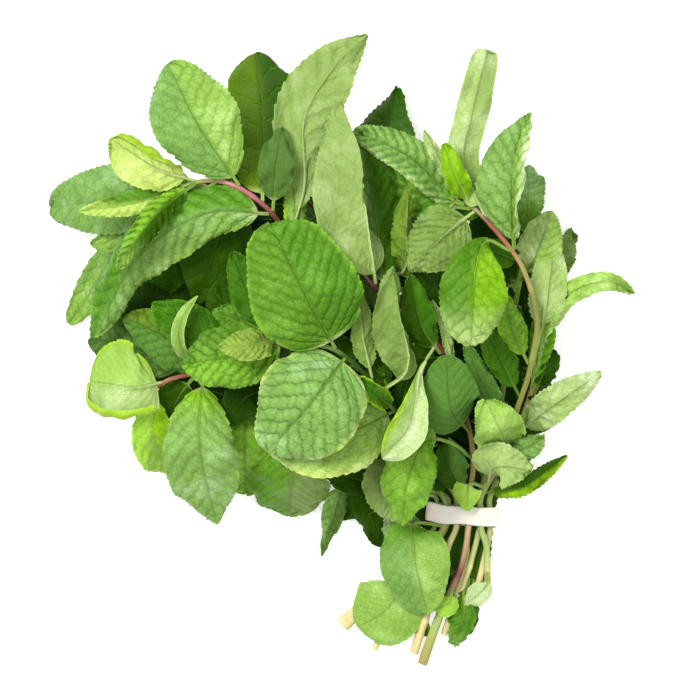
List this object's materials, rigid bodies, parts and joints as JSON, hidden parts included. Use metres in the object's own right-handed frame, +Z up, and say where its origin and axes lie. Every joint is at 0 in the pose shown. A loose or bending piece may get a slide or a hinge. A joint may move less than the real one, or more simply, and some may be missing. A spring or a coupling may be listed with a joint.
{
  "type": "mint bunch",
  "caption": "Bunch of fresh mint: long leafy stems tied near their cut ends with a flat rubber band, lying on its side with the leaves spread",
  "frame": {"origin": "bottom centre of the whole bunch's box, on the surface that it lies on", "axes": "+Z up from that surface, +Y from the cut ends towards the leafy head, +X to the right seen from above with the head away from the viewer"},
  "size_m": [0.2108, 0.227, 0.0816],
  "materials": {
    "band_rubber": "matte",
    "stem_maroon": "satin",
    "stem_olive": "satin",
    "stem_pale": "satin",
    "leaf_upper": "satin",
    "leaf_dark": "satin",
    "leaf_young": "satin",
    "leaf_underside": "matte"
  },
  "bodies": {
    "root": {"rubber_band": "band_rubber", "stem_1": "stem_maroon", "stem_1_leaf_1": "leaf_upper", "stem_1_leaf_2": "leaf_dark", "stem_1_leaf_3": "leaf_upper", "stem_1_leaf_4": "leaf_young", "stem_1_leaf_5": "leaf_upper", "stem_1_leaf_6": "leaf_young", "stem_1_leaf_7": "leaf_young", "stem_1_leaf_8": "leaf_upper", "stem_1_leaf_9": "leaf_upper", "stem_1_leaf_10": "leaf_underside", "stem_1_leaf_11": "leaf_upper", "stem_1_leaf_12": "leaf_upper", "stem_2": "stem_maroon", "stem_2_leaf_1": "leaf_young", "stem_2_leaf_2": "leaf_young", "stem_2_leaf_3": "leaf_upper", "stem_2_leaf_4": "leaf_upper", "stem_3": "stem_olive", "stem_3_leaf_1": "leaf_underside", "stem_3_leaf_2": "leaf_young", "stem_3_leaf_3": "leaf_dark", "stem_3_leaf_4": "leaf_upper", "stem_3_leaf_5": "leaf_upper", "stem_3_leaf_6": "leaf_upper", "stem_3_leaf_7": "leaf_underside", "stem_3_leaf_8": "leaf_underside", "stem_3_leaf_9": "leaf_underside", "stem_3_leaf_10": "leaf_underside", "stem_3_leaf_11": "leaf_young", "stem_4": "stem_pale", "stem_4_leaf_1": "leaf_upper", "stem_4_leaf_2": "leaf_upper", "stem_4_leaf_3": "leaf_upper", "stem_4_leaf_4": "leaf_upper", "stem_4_leaf_5": "leaf_young", "stem_4_leaf_6": "leaf_underside", "stem_5": "stem_maroon", "stem_5_leaf_1": "leaf_underside", "stem_5_leaf_2": "leaf_underside", "stem_5_leaf_3": "leaf_young", "stem_5_leaf_4": "leaf_upper", "stem_6": "stem_pale", "stem_6_leaf_1": "leaf_upper", "stem_6_leaf_2": "leaf_underside", "stem_6_leaf_3": "leaf_underside", "stem_6_leaf_4": "leaf_upper", "stem_7": "stem_pale", "stem_7_leaf_1": "leaf_upper", "stem_7_leaf_2": "leaf_upper", "stem_8": "stem_pale", "stem_8_leaf_1": "leaf_dark", "stem_8_leaf_2": "leaf_upper", "stem_9": "stem_maroon", "stem_9_leaf_1": "leaf_underside", "stem_10": "stem_pale", "stem_10_leaf_1": "leaf_dark", "stem_10_leaf_2": "leaf_upper", "stem_10_leaf_3": "leaf_dark"}
  },
  "joints": []
}
